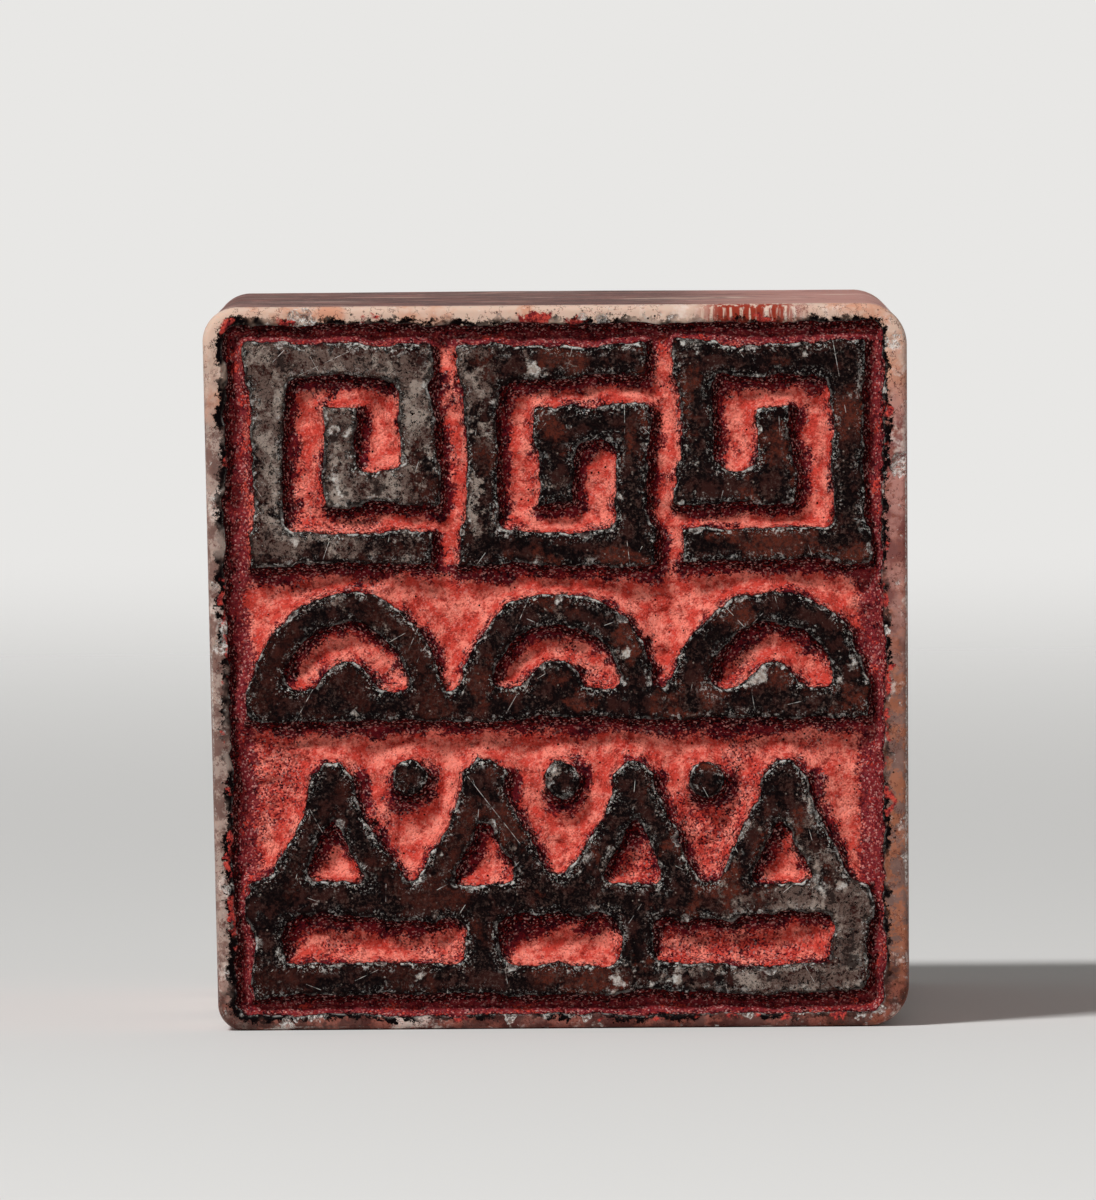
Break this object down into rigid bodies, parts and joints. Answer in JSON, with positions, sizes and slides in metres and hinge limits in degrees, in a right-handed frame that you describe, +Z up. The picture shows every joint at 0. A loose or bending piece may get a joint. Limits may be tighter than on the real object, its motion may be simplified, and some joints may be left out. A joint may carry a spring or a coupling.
{
  "type": "seal stamp",
  "caption": "Square-faced soft-stone seal with a hand-cut relief face inside a narrow rim, its recesses holding dried red seal paste; pressed by hand on paste, then on paper.",
  "frame": {"origin": "middle of the side that the seal lies on, at the height of what it lies on", "axes": "+Z up from the side that it lies on; the cut face looks along -Y and the plain end along +Y, which is the stone's long axis; +X to the right when the cut face is looked at"},
  "size_m": [0.03, 0.05, 0.0308],
  "materials": {
    "stone": "satin",
    "seal_paste": "matte"
  },
  "bodies": {
    "root": {"seal_stone": "stone", "paste_open_channels": "seal_paste", "paste_under_fan_1": "seal_paste", "paste_under_fan_2": "seal_paste", "paste_under_fan_3": "seal_paste", "paste_under_peak_1": "seal_paste", "paste_under_peak_2": "seal_paste", "paste_under_peak_3": "seal_paste", "paste_under_peak_4": "seal_paste", "paste_long_cell_1": "seal_paste", "paste_long_cell_2": "seal_paste", "paste_long_cell_3": "seal_paste"}
  },
  "joints": []
}
